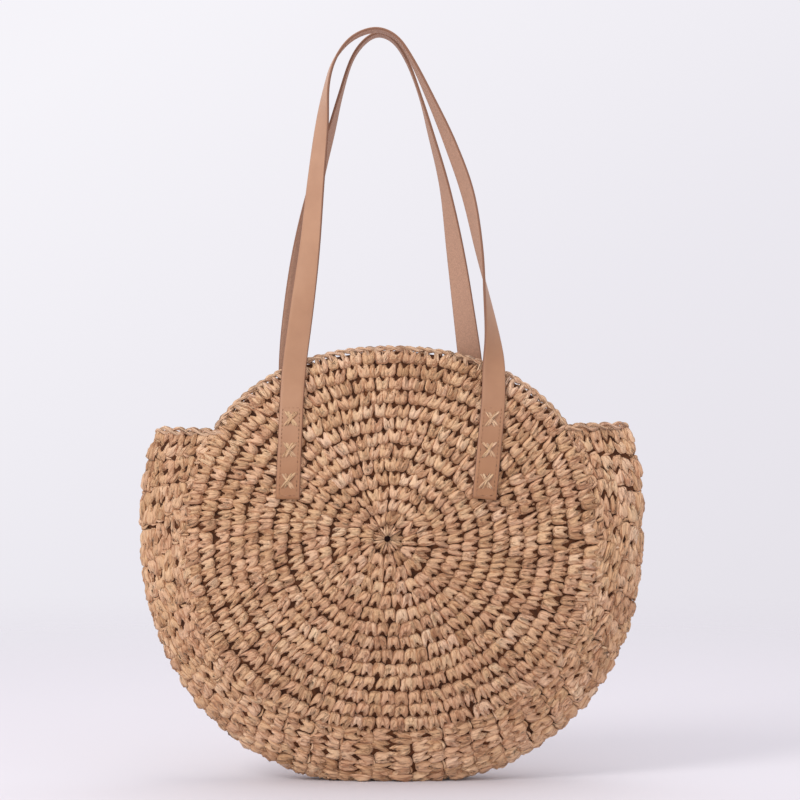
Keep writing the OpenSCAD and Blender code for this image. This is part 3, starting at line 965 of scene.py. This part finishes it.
LINING_SHARE = 0.92
HEM_SHARE = 0.888
CLOTH_T = 0.8 * MM
# Gap between the back of the solids' crochet and the lining's middle, at the discs and at the gusset
LINING_GAP = 3.3 * MM
GUSSET_LINING_GAP = 2.1 * MM
# Depth of the lining at the snap, and how far the snap pulls it in and sends out folds
SNAP_DEPTH = 3.5 * MM
SNAP_PULL = 45 * MM
SNAP_FOLDS = 110 * MM


def lining_depth(x, z, rng):
    """Depth of the lining's middle: just inside the crochet and softly rumpled, but drawn in at the snap,
    with folds that run out from it."""
    snap_low, snap_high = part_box("snap_stud")
    rise = z - (snap_low.z + snap_high.z) / 2
    reach = np.hypot(x, rise)
    pull = np.exp(-((reach / SNAP_PULL) ** 4))
    rumple = sum(rng.normal(0, 0.45) * np.sin(fx * x + fz * z + rng.uniform(0, 6))
                 for fx, fz in ((40, 25), (-30, 55), (75, -20), (-90, -60), (130, 40)))
    fade = np.exp(-((reach / SNAP_FOLDS) ** 2))
    rays = 1.1 * np.sin(9 * np.arctan2(rise, x) + rng.uniform(0, 6)) * fade
    waves = np.clip(rumple + rays, -1.8, 1.6) * MM
    free = face_depth(x, z) - slouch(x, z) - WALL - LINING_GAP + waves
    return mix(free, SNAP_DEPTH, pull)


def lining_panel(name, side, seed, material, thread):
    """Lining of a disc, with a row of machine stitches along its hem."""
    rng = np.random.default_rng(seed)
    hem_shares = [0.885, HEM_SHARE, 0.891, 0.905, LINING_SHARE]
    share = np.concatenate([np.linspace(0.01, 0.880, 56), hem_shares])[:, None]
    angle = np.linspace(0, TURN, 300, endpoint=False)[None]
    share, angle = np.broadcast_arrays(share, angle)
    x = share * PANEL_RX * soft_power(np.cos(angle), 2 / ROUNDNESS)
    z = PANEL_Z + share * PANEL_RZ * soft_power(np.sin(angle), 2 / ROUNDNESS)
    dent = 0.5 * MM * np.exp(-(((share - HEM_SHARE) / 0.003) ** 2))
    grid = np.stack([x, side * (lining_depth(x, z, rng) + dent), z], -1)
    cloth = grid_mesh(name, grid, material, closed=True, thickness=CLOTH_T)

    hem = grid[-3]
    along = np.linspace(0.08, 0.92, 5)[None, :, None]
    dip = np.array([0.3, -0.05, -0.1, -0.05, 0.3])[None, :, None] * MM
    inward = np.array([0.0, -side, 0.0])
    above = (CLOTH_T / 2 + 0.1 * MM - dip) * inward
    paths = mix(hem[:, None], np.roll(hem, -1, axis=0)[:, None], along) + above
    size = np.full(paths.shape[:2], 0.7 * MM)
    yarn = Yarn(seed + 100)
    yarn.add(paths, size, 0.6, np.tile(inward, (len(hem), 1)), sides=6, lobes=2)
    stitches = yarn.build(name + "_hem_stitching", thread)

    return cloth, stitches


def lining_gusset(name, side, material):
    """Half of the lining's strip, from the middle fold to the seam with a disc's lining."""
    t = np.linspace(0.004, 0.996, 120)[:, None]
    v = side * np.linspace(0, 0.74, 10)[None]
    grid = gusset_point(t, v, WALL + GUSSET_LINING_GAP)
    cloth = grid_mesh(name, grid, material, thickness=CLOTH_T)
    return cloth


# ------------ stage

def floor():
    """A pale floor that fades into the backdrop round its rim."""
    graph = new_graph("studio_floor")
    material = graph.dressed({
        "Base Color": (0.66, 0.635, 0.67),
        "Roughness": 0.9,
        "Specular IOR Level": 0.1,
    })
    distance = graph.add("VectorMath", {0: graph.coordinate()}, operation="LENGTH").outputs["Value"]
    fade = graph.add("MapRange", {"From Min": 0.45, "From Max": 1.9, "Value": distance},
                     interpolation_type="SMOOTHSTEP")
    both = graph.add("MixShader", {
        "Fac": fade.outputs["Result"],
        1: graph.nodes["Principled BSDF"].outputs["BSDF"],
        2: graph.add("BsdfTransparent").outputs["BSDF"],
    })
    graph.feed(graph.nodes["Material Output"], {"Surface": both.outputs["Shader"]})
    r, a = round_rows(0.001, 2, 12, 64)
    points = np.stack([r * np.cos(a), r * np.sin(a), 0 * r * a], -1)
    grid_mesh("floor", points, material, closed=True)


def backdrop():
    """The studio's pale surround, lighter towards the top left, which also gives the soft fill light."""
    world = bpy.data.worlds.new("studio")
    bpy.context.scene.world = world
    graph = Graph(world)
    split = graph.add("SeparateXYZ", {0: graph.coordinate("Generated")}).outputs
    place = graph.scale_add(split["X"], -1.3, graph.scale_add(split["Z"], 2.2, 0.5))
    colour = graph.ramp(place, [
        (0.1, (0.79, 0.765, 0.82)), (0.5, (0.835, 0.815, 0.87)), (1.0, (0.92, 0.905, 0.95)),
    ])
    graph.feed(graph.nodes["Background"], {"Color": colour, "Strength": 1.0})


def area_light(name, place, target, size, energy, colour):
    """A round soft light that points from its place to a target."""
    data = bpy.data.lights.new(name, "AREA")
    data.shape = "DISK"
    data.size = size
    data.energy = energy
    data.color = colour
    obj = new_object(name, data)
    obj.location = place
    obj.rotation_mode = "QUATERNION"
    obj.rotation_quaternion = (Vector(target) - Vector(place)).to_track_quat("-Z", "Y")


def camera():
    """Level camera in front of the bag, at about half the bag's height."""
    view_size, distance, sensor = 0.6656, 1.9, 36.0
    data = bpy.data.cameras.new("camera")
    data.sensor_width = sensor
    data.lens = sensor * distance / view_size
    obj = new_object("camera", data)
    obj.location = (0.0067, -distance, 0.315)
    obj.rotation_euler = (math.pi / 2, 0, 0)
    bpy.context.scene.camera = obj


# ------------ assembly

def show(obj, slot, *nodes):
    """Hides the CAD nodes that a piece stands for, and gives the piece back. slot is not used."""
    if nodes:
        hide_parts(*nodes)
    return obj


def disc_pieces(word, side, seed, looks):
    """The pieces that move with one disc of the bag."""
    panel, rim, seam = word + "_panel", word + "_rim", word + "_seam"
    pieces = [
        show(disc_ground(panel + "_ground", side, looks["behind"]), "straw_crochet"),
        show(disc_edging(rim + "_edging", side, seed + 1, looks["edging"]), "straw_yarn", rim),
        show(seam_yarn(seam + "_yarn", side, seed + 2, looks["straw"]), "straw_yarn", seam),
    ]
    lining, hem = lining_panel(word + "_lining", side, seed + 3, looks["cloth"], looks["thread"])
    pieces += [show(lining, "lining_cloth", "lining_" + word), show(hem, "stitch_yarn")]
    for i, (tab, (tab_side, top_x, foot_x)) in enumerate(TABS.items()):
        if tab_side == side:
            line = (side, top_x, foot_x)
            sewn = machine_stitching(tab + "_machine_stitching", *line, seed + 10 + i, looks["thread"])
            crosses = cross_stitches(tab + "_cross_stitches", *line, seed + 20 + i, looks["crosses"])
            pieces += [show(sewn, "stitch_yarn"), show(crosses, "stitch_yarn", tab + "_stitches")]
    for i, (band, first, last) in enumerate(DISC_BANDS):
        name = f"{panel}_{band}_rounds"
        rounds = disc_crochet(name, side, range(first, last), seed + 30 + i, looks["straw"])
        pieces.append(show(rounds, "straw_crochet", panel))
    return pieces


def gusset_pieces(word, side, seed, looks):
    """Half of the gusset, with its lining and the edgings of both ears."""
    name = "gusset_" + word
    pieces = [
        show(gusset_crochet(name + "_stitches", side, seed + 4, looks["straw"]),
             "straw_crochet", "gusset"),
        show(gusset_ground(name + "_ground", side, looks["behind"]), "straw_crochet"),
        show(lining_gusset(name + "_lining", side, looks["cloth"]), "lining_cloth", "lining_gusset"),
    ]
    for i, (ear, t) in enumerate((("left_ear", 1), ("right_ear", 0))):
        edge = ear_edging(f"{ear}_{word}_edging", t, side, seed + 5 + i, looks["edging"])
        pieces.append(show(edge, "straw_yarn", ear + "_rim"))
    return pieces


def dress_side(word, side, looks):
    """One side of the bag: its disc, its half of the gusset, and its strap with both tabs."""
    body, strap = word + "_side", word + "_strap"
    seed = 10 if side == FRONT else 60
    for obj in disc_pieces(word, side, seed, looks):
        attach(obj, body)
    for obj in gusset_pieces(word, side, seed, looks):
        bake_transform(obj)
    left, right = (TABS[word + end][1:] for end in ("_left", "_right"))
    strip = strap_strip(strap + "_strip", side, left, right, ROUTES[word], looks["leather"])
    show(strip, "strap_leather", strap, word + "_left_tab", word + "_right_tab")
    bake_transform(strip)


def dress_cad_nodes(leather, metal):
    """The CAD pieces that are shown as they are."""
    for name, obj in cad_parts.items():
        if name.endswith("_patch") or "snap" in name:
            obj.data.materials.clear()
            obj.data.materials.append(metal if "snap" in name else leather)


def main():
    bpy.context.scene.view_settings.view_transform = "Standard"
    camera()
    backdrop()
    floor()
    area_light("key", (-1.8, -1.7, 2.2), (0, 0, 0.25), 1.2, 38, (1.0, 0.985, 0.96))
    area_light("fill", (0.1, -1.5, 0.03), (0, 0, 0.08), 0.8, 3.8, (1.0, 0.99, 0.98))
    area_light("top", (0.3, 0.2, 2.4), (0, 0, 0.2), 1.6, 14, (0.98, 0.99, 1.0))
    looks = {
        "straw": straw_material(
            "straw", (0.45, 0.24, 0.124), (0.665, 0.405, 0.237), (0.80, 0.567, 0.383)),
        "edging": straw_material(
            "straw_edging", (0.46, 0.26, 0.14), (0.66, 0.42, 0.27), (0.79, 0.575, 0.41)),
        "crosses": straw_material(
            "stitch_straw", (0.48, 0.27, 0.14), (0.65, 0.41, 0.235), (0.76, 0.52, 0.34)),
        "thread": straw_material(
            "thread", (0.28, 0.13, 0.065), (0.38, 0.19, 0.10), (0.46, 0.25, 0.14), 0.3),
        "behind": shadow_straw_material(),
        "leather": leather_material(
            (0.465, 0.250, 0.148), (0.408, 0.210, 0.121), (0.22, 0.095, 0.05), (0.47, 0.265, 0.175)),
        "cloth": cloth_material(),
    }
    metal = metal_material()
    for word, side in (("front", FRONT), ("back", BACK)):
        dress_side(word, side, looks)
    dress_cad_nodes(looks["leather"], metal)


main()
